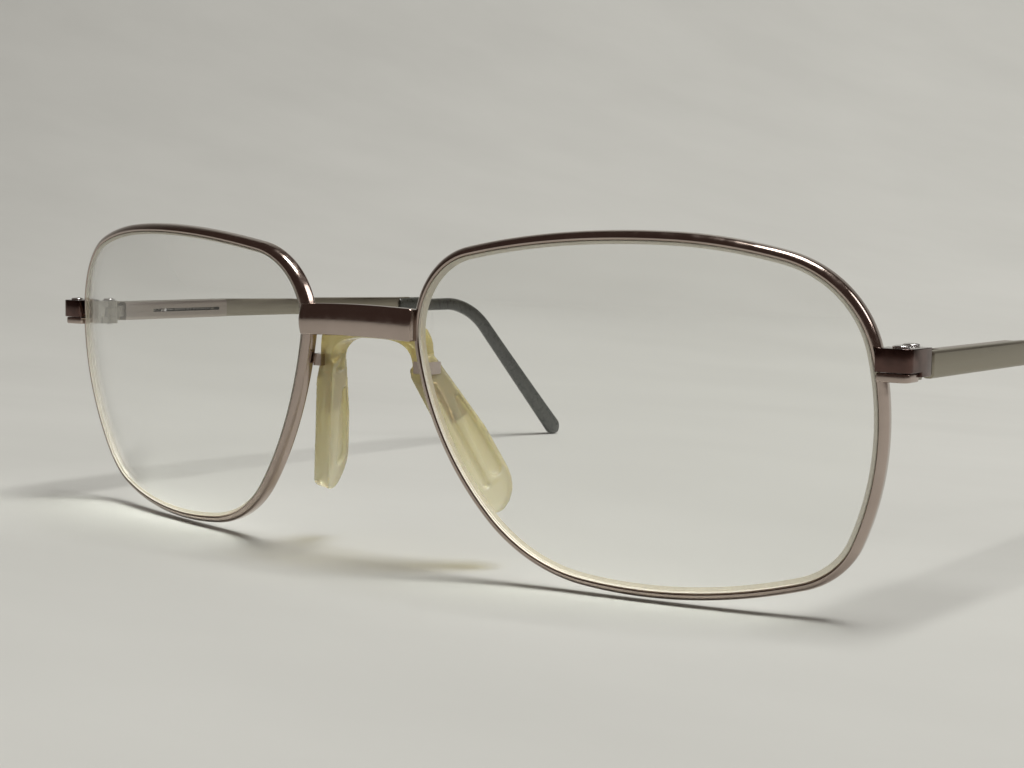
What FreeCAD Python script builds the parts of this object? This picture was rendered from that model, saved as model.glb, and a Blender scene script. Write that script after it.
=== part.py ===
import FreeCAD, Part
import math
import os
from FreeCAD import Placement, Rotation, Vector

# Men's metal spectacle frame with a one-piece nose saddle and sprung temples, standing open.
# Millimetres, +Z up, front towards -Y.  Every piece is drawn for the +X ("right") side, in a
# working frame whose origin is the middle of the bridge gap at lens-centre depth, and is then
# mirrored for the -X side.  At the end the whole model is moved to stand on Z = 0 with its
# box centred on the origin.

# ---- driving dimensions -------------------------------------------------------------------
LENS_SPACING = 76.0          # between the two lens centres
WRAP = 9.7                   # each lens plane turned back at the temple side, degrees
PANTO = 7.1                  # top of each lens plane leaning forward, degrees
FRONT_RADIUS = 90.0          # sphere that the front faces of rims and lenses lie on
FRONT_SAG = 3.55             # how far that sphere stands in front of the lens centre plane
LENS_HEIGHT = 21.6           # lens centres above the table

RIM_WIDTH = 1.2              # seen from the front
RIM_DEPTH = 2.0              # front to back
ROOM_BEHIND = 4.0            # kept free behind the lens by what is soldered to the rim
GROOVE_DEPTH = 0.5
GROOVE_FRONT = 0.65
GROOVE_WIDTH = 0.8
RIM_SPLIT_HEIGHT = 6.35      # height of the saw cut in the rim above the lens centre
RIM_SPLIT = 0.2

LENS_PLAY = 0.05             # between a lens edge and the rim
LENS_BACK_RADIUS = 86.0
LENS_CENTRE_THICKNESS = 1.6
LENS_SET_BACK = 0.1

# Inner edge of the rim in its own plane: arcs that run on smoothly into each other, as the angle
# that each turns through and its radius.  The first faces the temple, and the outline goes over
# the top to the nose.  The two radii left open are the ones that close the outline.
RIM_FIRST_NORMAL = -23.5
RIM_ARCS = [
    (35.7, None),            # temple side
    (62.1, 13.3),            # upper temple corner
    (12.9, None),            # top
    (15.4, 101.0),
    (61.6, 9.9),             # upper nose corner
    (25.6, 10.3),
    (32.4, 39.9),            # slanted nose side
    (41.2, 19.7),            # lower nose corner
    (21.3, 71.0),            # bottom
    (51.8, 8.8),             # lower temple corner
]

BRIDGE_HALF = 9.4
BRIDGE_HEIGHT = 4.0
BRIDGE_MIDDLE = 30.8
BRIDGE_FRONT = -5.3
BRIDGE_THICK = 1.8
BRIDGE_BOW = 60.0            # radius of its rounded front face

SADDLE_FRONT = -2.1
SADDLE_DEPTH = 3.4
SADDLE_HALF = 8.6
SADDLE_TOP = 31.2
SADDLE_ARCH_TOP = 28.6
SADDLE_ARCH_HALF = 6.9
SADDLE_LEG_TOP = Vector(8.0, 0.3, 26.5)
SADDLE_LEG_END = Vector(14.2, 6.2, 10.6)
SADDLE_LEG_FRONT = 3.4       # from the leg's axis to its front edge
SADDLE_LEG_BACK_TOP = 0.7    # from the axis to its back edge, at the top
SADDLE_LEG_BACK = 2.6        # and at its widest
SADDLE_LEG_THICK = 2.2
SADDLE_SPLAY = 0.33          # sideways part of a leg's width direction
SADDLE_GAP = 0.05            # between the saddle and the back of the rim
TAB_START = 0.8              # metal tab inside each leg, measured down the leg
TAB_END = 8.5
TAB_WIDTH = 2.4
TAB_THICK = 0.7
ARM_HEIGHT = 1.5             # arm that joins the tab to the rim
ARM_TOP = 26.2

END_FRONT = 4.2              # front face of the endpiece, which laps over the rim
END_INSIDE = 65.9            # its end over the rim
END_OUTSIDE = 69.9           # outer face of endpiece and temple
END_BACK = 9.8
END_TOP = 30.75
END_BOTTOM = 28.2
END_TAIL_BOTTOM = 27.65
END_THICK = 2.3
LOCK_BOTTOM = 27.15
LOCK_GAP = 0.08
LOCK_BACK = 7.4
LOCK_SCREW_RADIUS = 0.55

PIN_X = 66.9
PIN_Y = 11.1
HINGE_MIDDLE = 28.85
KNUCKLE_RADIUS = 1.25
MIDDLE_KNUCKLE = 1.4         # height of the temple's knuckle
OUTER_KNUCKLE = 1.0
KNUCKLE_PLAY = 0.05
PIN_RADIUS = 0.6
PIN_PLAY = 0.04
SCREW_HEAD_RADIUS = 0.95
SCREW_HEAD = 0.4

BAR_START = 10.1
BAR_THICK = 1.2
BAR_HEIGHT = 3.0
BAR_HEIGHT_BACK = 2.5
BAR_MIDDLE = 28.85
TIP_MIDDLE = 27.95           # the bar drops to this height where the tip starts
BAR_STRAIGHT = 40.0          # where the bar starts to lean inwards
BAR_LEAN = 1.4               # how far it has leaned in where the bend starts

HOUSING_START = 14.5
HOUSING_END = 36.0
HOUSING_THICK = 1.6
HOUSING_HEIGHT = 2.9
HOUSING_WALL = 0.4
CAVITY_HEIGHT = 1.8
CAVITY_END = 34.9
SLED_PLAY = 0.05
SLED_FRONT = 11.9
SLED_BACK = 20.5
ROD_RADIUS = 0.25
ROD_END = 33.6
ROD_HEAD = 0.7
ROD_HEAD_RADIUS = 0.42
STOP_START = 22.0
STOP_LENGTH = 1.0
STOP_BORE = 0.3
SPRING_OUTSIDE = 0.45
SLOT_HEIGHT = 0.5
SLOT_START = 20.0

TIP_START = 80.0
TIP_THICK = 2.2
BEND_START = 90.5
BEND_RADIUS = 15.0
BEND_ANGLE = 47.5
TIP_END_HALF = 2.2           # half height of the rounded end
TIP_INWARD = 5.2             # how far the end has turned in
CORE_THICK = 0.8
CORE_LENGTH = 30.0
CORE_HALF = 0.8              # half height of the core wire

# ---- derived dimensions -------------------------------------------------------------------
LENS_PLACE = Placement(
    Vector(LENS_SPACING / 2, 0, LENS_HEIGHT),
    Rotation(Vector(0, 0, 1), WRAP) * Rotation(Vector(1, 0, 0), PANTO))
BAR_INSIDE = END_OUTSIDE - BAR_THICK
HINGE_HEIGHT = MIDDLE_KNUCKLE + 2 * (OUTER_KNUCKLE + KNUCKLE_PLAY)
HINGE_TOP = HINGE_MIDDLE + HINGE_HEIGHT / 2
HINGE_BOTTOM = HINGE_MIDDLE - HINGE_HEIGHT / 2


# ---- helpers ------------------------------------------------------------------------------
def block(x0, x1, y0, y1, z0, z1):
    return Part.makeBox(x1 - x0, y1 - y0, z1 - z0, Vector(x0, y0, z0))


def post(x, y, z0, z1, radius):
    return Part.makeCylinder(radius, z1 - z0, Vector(x, y, z0))


def flat_face(points):
    """A face from its corner points, which lie in one plane."""
    corners = [Vector(*p) for p in points]
    return Part.Face(Part.makePolygon(corners + corners[:1]))


def turned(angle):
    return Vector(math.cos(math.radians(angle)), 0, math.sin(math.radians(angle)))


def rim_arcs():
    """The rim's arcs, centred on the lens, as (centre, radius, first angle, last angle)."""
    angles = [RIM_FIRST_NORMAL]
    for turn, _ in RIM_ARCS:
        angles.append(angles[-1] + turn)
    steps = [turned(b) - turned(a) for a, b in zip(angles, angles[1:])]
    radii = [radius for _, radius in RIM_ARCS]
    one, two = [i for i, radius in enumerate(radii) if radius is None]
    rest = Vector()
    for step, radius in zip(steps, radii):
        if radius is not None:
            rest = rest + step * radius
    cross = steps[one].x * steps[two].z - steps[one].z * steps[two].x
    radii[one] = -(rest.x * steps[two].z - rest.z * steps[two].x) / cross
    radii[two] = -(steps[one].x * rest.z - steps[one].z * rest.x) / cross
    point = Vector()
    arcs = []
    for step, radius, first, last in zip(steps, radii, angles, angles[1:]):
        arcs.append((point - turned(first) * radius, radius, first, last))
        point = point + step * radius
    box = outline_wire(arcs, 0).BoundBox
    return [(centre - box.Center, radius, first, last) for centre, radius, first, last in arcs]


def outline_wire(arcs, grow):
    edges = []
    for centre, radius, first, last in arcs:
        ends = [centre + turned(angle) * (radius + grow) for angle in (first, (first + last) / 2, last)]
        edges.append(Part.Arc(*ends).toShape())
    return Part.Wire(edges)


def largest(shape):
    return max(shape.Solids, key=lambda solid: solid.Volume)


# ---- rim and lens, in the lens's own frame: x to the temple, y back, z up -------------------
def rim_prism(grow):
    """A long prism on the rim's inner outline, grown outwards all round."""
    prism = Part.Face(outline_wire(rim_arcs(), grow)).extrude(Vector(0, 40, 0))
    prism.translate(Vector(0, -20, 0))
    return prism


def front_layer(start, thickness):
    """The layer between two spheres, start behind the front sphere."""
    middle = Vector(0, FRONT_RADIUS - FRONT_SAG, 0)
    outer = Part.makeSphere(FRONT_RADIUS - start, middle)
    return outer.cut(Part.makeSphere(FRONT_RADIUS - start - thickness, middle))


def make_rim():
    ring = rim_prism(RIM_WIDTH).cut(rim_prism(0))
    ring = ring.common(front_layer(0, RIM_DEPTH))
    ring = ring.cut(rim_prism(GROOVE_DEPTH).common(front_layer(GROOVE_FRONT, GROOVE_WIDTH)))
    saw = block(20, 40, -20, 20, RIM_SPLIT_HEIGHT, RIM_SPLIT_HEIGHT + RIM_SPLIT)
    ring = largest(ring.cut(saw))
    ring.Placement = LENS_PLACE
    return ring


def make_lens():
    front = Part.makeSphere(FRONT_RADIUS, Vector(0, FRONT_RADIUS - FRONT_SAG + LENS_SET_BACK, 0))
    back_middle = LENS_BACK_RADIUS - FRONT_SAG + LENS_SET_BACK + LENS_CENTRE_THICKNESS
    back = Part.makeSphere(LENS_BACK_RADIUS, Vector(0, back_middle, 0))
    body = rim_prism(-LENS_PLAY).common(front).cut(back)
    tongue = front_layer(GROOVE_FRONT + LENS_PLAY, GROOVE_WIDTH - 2 * LENS_PLAY)
    tongue = rim_prism(GROOVE_DEPTH - LENS_PLAY).common(tongue)
    lens = largest(body.fuse(tongue))
    lens.Placement = LENS_PLACE
    return lens


def rim_keep_out():
    """Everything inside the rim's outer edge, for trimming what is soldered to it."""
    prism = rim_prism(RIM_WIDTH)
    prism.Placement = LENS_PLACE
    return prism


def rim_disc(behind):
    """The rim and what it encloses, and the room behind it to some depth."""
    disc = rim_prism(RIM_WIDTH).common(front_layer(0, RIM_DEPTH + behind))
    disc.Placement = LENS_PLACE
    return disc


# ---- front fittings -----------------------------------------------------------------------
def make_bridge():
    z0 = BRIDGE_MIDDLE - BRIDGE_HEIGHT / 2
    z1 = BRIDGE_MIDDLE + BRIDGE_HEIGHT / 2
    bar = block(-BRIDGE_HALF, BRIDGE_HALF, BRIDGE_FRONT - 0.5, BRIDGE_FRONT + BRIDGE_THICK, z0, z1)
    bow = Part.makeCylinder(BRIDGE_BOW, 40, Vector(0, BRIDGE_FRONT - 0.5 + BRIDGE_BOW, 10))
    bar = bar.common(bow)
    tilt_point = Vector(0, BRIDGE_FRONT, BRIDGE_MIDDLE)
    bar.rotate(tilt_point, Vector(1, 0, 0), PANTO)
    disc = rim_disc(ROOM_BEHIND)
    bar = bar.cut(disc).cut(mirrored(disc))
    return largest(bar)


def leg_place():
    """Where a leg is: its x runs down the leg, its y across the leg's width."""
    down = (SADDLE_LEG_END - SADDLE_LEG_TOP).normalize()
    across = Vector(SADDLE_SPLAY, 1, 0)
    across = (across - down * across.dot(down)).normalize()
    normal = down.cross(across)
    return Placement(FreeCAD.Matrix(
        down.x, across.x, normal.x, SADDLE_LEG_TOP.x,
        down.y, across.y, normal.y, SADDLE_LEG_TOP.y,
        down.z, across.z, normal.z, SADDLE_LEG_TOP.z,
        0, 0, 0, 1))


def leg_plate(start, end, width, thickness):
    """A flat strip along the leg's own axis."""
    return block(start, end, -width / 2, width / 2, -thickness / 2, thickness / 2)


def saddle_leg():
    """Tongue with a straight front edge, a back edge that widens, and a round lower end."""
    length = (SADDLE_LEG_END - SADDLE_LEG_TOP).Length
    front = SADDLE_LEG_FRONT
    back = SADDLE_LEG_BACK
    shoulder = Vector(0, SADDLE_LEG_BACK_TOP, 0)
    widest = Vector(length * 0.6, back, 0)
    heel = Vector(length, back, 0)
    toe = Vector(length + 1.2, -front, 0)
    edges = [
        Part.makeLine(Vector(0, -front, 0), toe),
        Part.Arc(toe, Vector(length + 3.1, (back - front) / 2 - 0.6, 0), heel).toShape(),
        Part.makeLine(heel, widest),
        Part.makeLine(widest, shoulder),
        Part.makeLine(shoulder, Vector(0, -front, 0)),
    ]
    leg = Part.Face(Part.Wire(edges)).extrude(Vector(0, 0, SADDLE_LEG_THICK))
    leg.translate(Vector(0, 0, -SADDLE_LEG_THICK / 2))
    leg.Placement = leg_place().multiply(leg.Placement)
    return leg


def make_saddle_bracket():
    """Metal tab inside the saddle's leg, on an arm soldered to the back of the rim."""
    tab = leg_plate(TAB_START, TAB_END, TAB_WIDTH, TAB_THICK)
    tab.Placement = leg_place()
    x = SADDLE_LEG_TOP.x
    arm = block(x - 0.1, x + 1.9, SADDLE_FRONT - 0.7, 0.9, ARM_TOP - ARM_HEIGHT, ARM_TOP)
    return largest(tab.fuse(arm).removeSplitter().cut(rim_disc(0)))


def make_saddle():
    y0 = SADDLE_FRONT
    spring_line = SADDLE_LEG_TOP.z - 1.5
    arch = block(-SADDLE_HALF, SADDLE_HALF, y0, y0 + SADDLE_DEPTH, spring_line, SADDLE_TOP)
    ellipse = Part.Ellipse(Vector(0, y0 - 1, spring_line), SADDLE_ARCH_HALF,
                           SADDLE_ARCH_TOP - spring_line)
    opening = Part.Face(Part.Wire([ellipse.toShape()]))
    opening.rotate(Vector(0, y0 - 1, spring_line), Vector(1, 0, 0), 90)
    opening = opening.extrude(Vector(0, SADDLE_DEPTH + 2, 0))
    leg = saddle_leg()
    keep = block(-40, 40, y0, 40, 0, SADDLE_TOP)
    saddle = arch.fuse([leg, mirrored(leg)]).common(keep).cut(opening).removeSplitter()
    for cutter in (rim_disc(SADDLE_GAP), make_saddle_bracket()):
        saddle = saddle.cut(cutter).cut(mirrored(cutter))
    return largest(saddle)


def make_endpiece():
    """Lug that turns back from the rim; its front half is the upper closing block."""
    x0 = END_INSIDE
    x1 = END_OUTSIDE
    corner = 1.2
    points = [(x0, END_FRONT, 0), (x1 - corner, END_FRONT, 0), (x1, END_FRONT + corner, 0),
              (x1, END_BACK, 0), (x1 - END_THICK, END_BACK, 0), (x1 - END_THICK, LOCK_BACK, 0),
              (x0, LOCK_BACK, 0)]
    lug = flat_face(points).extrude(Vector(0, 0, END_TOP - END_BOTTOM))
    lug.translate(Vector(0, 0, END_BOTTOM))
    tail = block(x1 - END_THICK, x1, LOCK_BACK, END_BACK, END_TAIL_BOTTOM, END_TOP)
    lug = lug.fuse(tail).removeSplitter()
    lug = lug.cut(rim_disc(ROOM_BEHIND))
    screw = make_lock_screw()
    return largest(lug.cut(screw))


def make_lock():
    """Lower closing block, soldered to the lower end of the split rim."""
    x1 = END_OUTSIDE - 0.3
    lock = block(END_INSIDE, x1, END_FRONT + 0.2, LOCK_BACK, LOCK_BOTTOM, END_BOTTOM - LOCK_GAP)
    lock = lock.cut(rim_disc(ROOM_BEHIND)).cut(make_lock_screw())
    return largest(lock)


def make_lock_screw():
    x = END_OUTSIDE - 1.7
    y = (END_FRONT + LOCK_BACK) / 2
    shank = post(x, y, LOCK_BOTTOM + 0.1, END_TOP, LOCK_SCREW_RADIUS)
    head = post(x, y, END_TOP - 0.3, END_TOP + 0.35, SCREW_HEAD_RADIUS)
    slot = block(x - 2, x + 2, y - 0.12, y + 0.12, END_TOP + 0.15, END_TOP + 1)
    return shank.fuse(head).removeSplitter().cut(slot)


# ---- hinge --------------------------------------------------------------------------------
def make_hinge_front():
    """Leaf on the back of the endpiece with the upper and lower knuckles."""
    x1 = END_OUTSIDE - END_THICK
    leaf_back = PIN_Y - KNUCKLE_RADIUS - 0.1
    leaf = block(PIN_X - 0.9, x1, LOCK_BACK + 0.1, leaf_back, HINGE_BOTTOM, HINGE_TOP)
    leaf = leaf.cut(rim_keep_out())
    knuckles = []
    for z0 in (HINGE_BOTTOM, HINGE_TOP - OUTER_KNUCKLE):
        z1 = z0 + OUTER_KNUCKLE
        knuckles.append(post(PIN_X, PIN_Y, z0, z1, KNUCKLE_RADIUS))
        knuckles.append(block(PIN_X - 0.9, PIN_X + 0.7, leaf_back - 0.5, PIN_Y, z0, z1))
    hinge = leaf.fuse(knuckles).removeSplitter()
    return largest(hinge.cut(post(PIN_X, PIN_Y, 0, 60, PIN_RADIUS)))


def make_hinge_screw():
    shank = post(PIN_X, PIN_Y, HINGE_BOTTOM - 0.25, HINGE_TOP, PIN_RADIUS)
    head = post(PIN_X, PIN_Y, HINGE_TOP, HINGE_TOP + SCREW_HEAD, SCREW_HEAD_RADIUS)
    top = HINGE_TOP + SCREW_HEAD
    slot = block(PIN_X - 2, PIN_X + 2, PIN_Y - 0.12, PIN_Y + 0.12, top - 0.2, top + 1)
    return shank.fuse(head).removeSplitter().cut(slot)


def make_sled():
    """Temple knuckle with the tongue and rod that slide in the spring housing."""
    half = MIDDLE_KNUCKLE / 2
    knuckle = post(PIN_X, PIN_Y, HINGE_MIDDLE - half, HINGE_MIDDLE + half, KNUCKLE_RADIUS)
    x0 = BAR_INSIDE - HOUSING_THICK + HOUSING_WALL + SLED_PLAY
    x1 = BAR_INSIDE - SLED_PLAY
    tall = CAVITY_HEIGHT / 2 - SLED_PLAY
    neck = block(x0 - 0.9, x0 + 0.6, PIN_Y, SLED_FRONT + 1.2, HINGE_MIDDLE - half, HINGE_MIDDLE + half)
    tongue = block(x0, x1, SLED_FRONT, SLED_BACK, BAR_MIDDLE - tall, BAR_MIDDLE + tall)
    tongue = tongue.cut(post(PIN_X, PIN_Y, HINGE_MIDDLE + half, 60, KNUCKLE_RADIUS + 0.1))
    tongue = tongue.cut(post(PIN_X, PIN_Y, 0, HINGE_MIDDLE - half, KNUCKLE_RADIUS + 0.1))
    x = (x0 + x1) / 2
    back = Vector(0, 1, 0)
    rod = Part.makeCylinder(ROD_RADIUS, ROD_END - SLED_BACK + 1, Vector(x, SLED_BACK - 1, BAR_MIDDLE), back)
    head = Part.makeCylinder(ROD_HEAD_RADIUS, ROD_HEAD, Vector(x, ROD_END - ROD_HEAD, BAR_MIDDLE), back)
    sled = knuckle.fuse([neck, tongue, rod, head]).removeSplitter()
    return largest(sled.cut(post(PIN_X, PIN_Y, 0, 60, PIN_RADIUS + PIN_PLAY)))


def rod_axis_x():
    return BAR_INSIDE - (HOUSING_THICK - HOUSING_WALL) / 2


def make_spring():
    start = STOP_START + STOP_LENGTH + 0.02
    end = ROD_END - ROD_HEAD - 0.02
    where = Vector(rod_axis_x(), start, BAR_MIDDLE)
    tube = Part.makeCylinder(SPRING_OUTSIDE, end - start, where, Vector(0, 1, 0))
    return tube.cut(Part.makeCylinder(STOP_BORE, end - start, where, Vector(0, 1, 0)))


def make_stop():
    """Stop that holds the front end of the spring; its round head shows in the housing's slot."""
    x0 = BAR_INSIDE - HOUSING_THICK + HOUSING_WALL
    half = CAVITY_HEIGHT / 2
    stop = block(x0, BAR_INSIDE, STOP_START, STOP_START + STOP_LENGTH, BAR_MIDDLE - half, BAR_MIDDLE + half)
    bore = Part.makeCylinder(STOP_BORE, 4, Vector(rod_axis_x(), STOP_START - 1, BAR_MIDDLE), Vector(0, 1, 0))
    head = Part.makeCylinder(SLOT_HEIGHT / 2, HOUSING_WALL, Vector(x0 - HOUSING_WALL,
                             STOP_START + STOP_LENGTH / 2, BAR_MIDDLE), Vector(1, 0, 0))
    return largest(stop.fuse(head).cut(bore))


def make_housing():
    x0 = BAR_INSIDE - HOUSING_THICK
    half = HOUSING_HEIGHT / 2
    shell = block(x0, BAR_INSIDE, HOUSING_START, HOUSING_END, BAR_MIDDLE - half, BAR_MIDDLE + half)
    inner_edges = [edge for edge in shell.Edges
                   if edge.BoundBox.XMax < x0 + 0.01 and edge.BoundBox.YLength > 5]
    shell = shell.makeFillet(0.5, inner_edges)
    half = CAVITY_HEIGHT / 2
    cavity = block(x0 + HOUSING_WALL, BAR_INSIDE, HOUSING_START - 1, CAVITY_END,
                   BAR_MIDDLE - half, BAR_MIDDLE + half)
    half = SLOT_HEIGHT / 2
    slot = block(x0 - 1, BAR_INSIDE, SLOT_START, CAVITY_END - 0.6, BAR_MIDDLE - half, BAR_MIDDLE + half)
    return largest(shell.cut(cavity).cut(slot))


# ---- temple -------------------------------------------------------------------------------
def temple_path(s):
    """Point, as (y, z), and downward slope angle at length s behind the tip's start."""
    run = BEND_START - TIP_START
    angle = math.radians(BEND_ANGLE)
    if s <= run:
        return TIP_START + s, TIP_MIDDLE, 0.0
    if s <= run + BEND_RADIUS * angle:
        turned = (s - run) / BEND_RADIUS
        return (BEND_START + BEND_RADIUS * math.sin(turned),
                TIP_MIDDLE - BEND_RADIUS * (1 - math.cos(turned)), turned)
    rest = s - run - BEND_RADIUS * angle
    return (BEND_START + BEND_RADIUS * math.sin(angle) + rest * math.cos(angle),
            TIP_MIDDLE - BEND_RADIUS * (1 - math.cos(angle)) - rest * math.sin(angle), angle)


def tip_length():
    """Length of the path whose rounded end just reaches the table."""
    angle = math.radians(BEND_ANGLE)
    drop = TIP_MIDDLE - BEND_RADIUS * (1 - math.cos(angle)) - TIP_END_HALF
    return BEND_START - TIP_START + BEND_RADIUS * angle + drop / math.sin(angle)


def side_profile(length, half_start, half_end, samples=17):
    """Outline of a bent strip in the YZ plane, widening to a rounded end."""
    upper = []
    lower = []
    for i in range(samples):
        s = length * i / (samples - 1)
        y, z, slope = temple_path(s)
        half = half_start + (half_end - half_start) * (s / length) ** 2
        upper.append(Vector(0, y + half * math.sin(slope), z + half * math.cos(slope)))
        lower.append(Vector(0, y - half * math.sin(slope), z - half * math.cos(slope)))
    y, z, slope = temple_path(length)
    end = Vector(0, y + half_end * math.cos(slope), z - half_end * math.sin(slope))
    edges = []
    for points in (upper, lower[::-1]):
        curve = Part.BSplineCurve()
        curve.interpolate(Points=points)
        edges.append(curve.toShape())
    edges.insert(1, Part.Arc(upper[-1], end, lower[-1]).toShape())
    edges.append(Part.makeLine(lower[0], upper[0]))
    return Part.Face(Part.Wire(edges))


def plan_profile(thickness, start, end):
    """The temple seen from above: straight, then leaning in, then turning in over the ear."""
    bend = BEND_START + 4
    last = 130.0
    middle = END_OUTSIDE - BAR_THICK / 2
    stations = [(start, 0.0), (BAR_STRAIGHT, 0.0), (bend, BAR_LEAN), (last, BAR_LEAN + TIP_INWARD)]
    stations = [(y, lean) for y, lean in stations if y >= start]
    if start > BAR_STRAIGHT:
        lean = BAR_LEAN * (start - BAR_STRAIGHT) / (bend - BAR_STRAIGHT)
        stations.insert(0, (start, lean))
    stations = [(y, lean) for y, lean in stations if y <= end]
    outer = [(middle - lean + thickness / 2, y, 0) for y, lean in stations]
    inner = [(middle - lean - thickness / 2, y, 0) for y, lean in stations]
    face = flat_face(outer + inner[::-1])
    return face.extrude(Vector(0, 0, 60))


def make_bar():
    z0 = BAR_MIDDLE - BAR_HEIGHT / 2
    z1 = BAR_MIDDLE + BAR_HEIGHT / 2
    back0 = TIP_MIDDLE - BAR_HEIGHT_BACK / 2
    back1 = TIP_MIDDLE + BAR_HEIGHT_BACK / 2
    side = flat_face([(0, BAR_START, z0), (0, HOUSING_END, z0), (0, TIP_START, back0),
                      (0, TIP_START, back1), (0, HOUSING_END, z1), (0, BAR_START, z1)])
    bar = side.extrude(Vector(100, 0, 0)).common(plan_profile(BAR_THICK, BAR_START, 140))
    return largest(bar.fuse(make_core()).removeSplitter())


def make_core():
    """Wire core of the temple that runs on inside the plastic tip."""
    core = side_profile(CORE_LENGTH, CORE_HALF, CORE_HALF).extrude(Vector(100, 0, 0))
    core = core.common(plan_profile(CORE_THICK, TIP_START - 1, 140))
    return largest(core)


def make_tip():
    tip = side_profile(tip_length(), 1.4, TIP_END_HALF).extrude(Vector(100, 0, 0))
    tip = tip.common(plan_profile(TIP_THICK, TIP_START, 140))
    return largest(largest(tip).cut(make_core()))


# ---- assembly -----------------------------------------------------------------------------
def mirrored(shape):
    return shape.mirror(Vector(0, 0, 0), Vector(1, 0, 0))


SIDE_PIECES = {
    "rim": make_rim,
    "lens": make_lens,
    "endpiece": make_endpiece,
    "rim_lock": make_lock,
    "rim_lock_screw": make_lock_screw,
    "hinge_leaf": make_hinge_front,
    "hinge_screw": make_hinge_screw,
    "saddle_bracket": make_saddle_bracket,
    "spring_sled": make_sled,
    "flex_spring": make_spring,
    "spring_stop": make_stop,
    "spring_housing": make_housing,
    "temple_bar": make_bar,
    "temple_tip": make_tip,
}


def build():
    pieces = {"bridge_bar": make_bridge(), "nose_saddle": make_saddle()}
    for name, make in SIDE_PIECES.items():
        shape = make()
        pieces[name + "_right"] = shape
        pieces[name + "_left"] = mirrored(shape)
    box = Part.makeCompound(list(pieces.values())).optimalBoundingBox(False)
    shift = Vector(0, -(box.YMin + box.YMax) / 2, -box.ZMin)
    os.makedirs("parts", exist_ok=True)
    for name, shape in pieces.items():
        shape = shape.copy()
        shape.translate(shift)
        solids = shape.Solids
        print("%-22s solids %d valid %s volume %.2f" % (name, len(solids), shape.isValid(), shape.Volume))
        shape.exportStep("parts/" + name + ".step")
    print("moved by", shift, "size", box.XLength, box.YLength, box.ZLength)
    print("hinge pin", PIN_X + shift.x, PIN_Y + shift.y, HINGE_MIDDLE + shift.z)


build()
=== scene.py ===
"""Looks of the eyeglasses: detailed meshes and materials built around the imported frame."""

import math

import bpy
import bmesh
import numpy as np
from mathutils import Matrix, Vector


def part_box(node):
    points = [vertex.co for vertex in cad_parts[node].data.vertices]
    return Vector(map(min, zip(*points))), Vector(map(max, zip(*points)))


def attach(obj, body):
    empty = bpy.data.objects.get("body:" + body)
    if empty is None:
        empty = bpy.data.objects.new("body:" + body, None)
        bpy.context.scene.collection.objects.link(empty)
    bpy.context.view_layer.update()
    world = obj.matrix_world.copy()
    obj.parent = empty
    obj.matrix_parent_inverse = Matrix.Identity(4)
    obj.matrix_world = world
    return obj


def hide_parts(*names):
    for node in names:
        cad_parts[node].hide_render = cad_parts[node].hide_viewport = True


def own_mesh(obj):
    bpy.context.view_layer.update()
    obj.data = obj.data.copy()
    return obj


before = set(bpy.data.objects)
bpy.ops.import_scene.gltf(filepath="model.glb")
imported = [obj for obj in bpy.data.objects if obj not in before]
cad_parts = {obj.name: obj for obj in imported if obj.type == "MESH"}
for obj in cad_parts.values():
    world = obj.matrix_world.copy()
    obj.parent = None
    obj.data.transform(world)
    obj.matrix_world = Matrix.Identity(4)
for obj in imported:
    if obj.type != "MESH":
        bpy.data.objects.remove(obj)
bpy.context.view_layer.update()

# ---- sizes ---------------------------------------------------------------------------------
# Pieces are drawn in millimetres for the +X side, in a working frame: x across from the middle
# of the bridge, y back from the lens centres, z up from the table.  side = -1 mirrors them.
MM = 0.001
PIN_Y = 11.1
SIDES = {"right": 1, "left": -1}

LENS_SPACING = 76.0
WRAP = 9.7
PANTO = 7.1
LENS_HEIGHT = 21.6
FRONT_RADIUS = 90.0
FRONT_SAG = 3.55
RIM_WIDTH = 1.05
RIM_DEPTH = 1.8
RIM_INSET = 0.2              # the drawn outline lies this much inside the arcs below
GROOVE_DEPTH = 0.5
GROOVE_FRONT = 0.65
GROOVE_WIDTH = 0.8
RIM_SPLIT_HEIGHT = 6.35
RIM_SPLIT = 0.2
LENS_PLAY = 0.05
LENS_BACK_RADIUS = 86.0
LENS_CENTRE_THICKNESS = 1.6
LENS_SET_BACK = 0.1
ARC_STEP = 0.75              # degrees between points along the rim
RIM_FIRST_NORMAL = -23.5
RIM_ARCS = [                 # angle turned and radius of each arc of the rim, as in the design
    (35.7, None),
    (62.1, 13.3),
    (12.9, None),
    (15.4, 101.0),
    (61.6, 9.9),
    (25.6, 10.3),
    (32.4, 39.9),
    (41.2, 19.7),
    (21.3, 71.0),
    (51.8, 8.8),
]


def node_box(node):
    """Corners of a design node in the working frame, in millimetres."""
    low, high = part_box(node)
    return np.array(low) / MM - SHIFT, np.array(high) / MM - SHIFT


pin_low, pin_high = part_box("hinge_screw_right")
SHIFT = np.array([0.0, (pin_low.y + pin_high.y) / 2 / MM - PIN_Y, 0.0])
BAR_LOW, BAR_HIGH = node_box("temple_bar_right")
TIP_LOW, TIP_HIGH = node_box("temple_tip_right")
HOUSING_HIGH = node_box("spring_housing_right")[1]
END_LOW, END_HIGH = node_box("endpiece_right")
LOCK_LOW, LOCK_HIGH = node_box("rim_lock_right")
SPRING_LOW, SPRING_HIGH = node_box("flex_spring_right")
BRIDGE_LOW, BRIDGE_HIGH = node_box("bridge_bar")
SADDLE_LOW, SADDLE_HIGH = node_box("nose_saddle")
OUTSIDE = BAR_HIGH[0]


# ---- camera --------------------------------------------------------------------------------
CAMERA_PLACE = (143.4, -158.7, 42.4)
VIEW_BACK = (0.6078, -0.7889, 0.0908)        # from the object towards the camera
VIEW_RIGHT = (0.7912, 0.6114, 0.0155)


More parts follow.
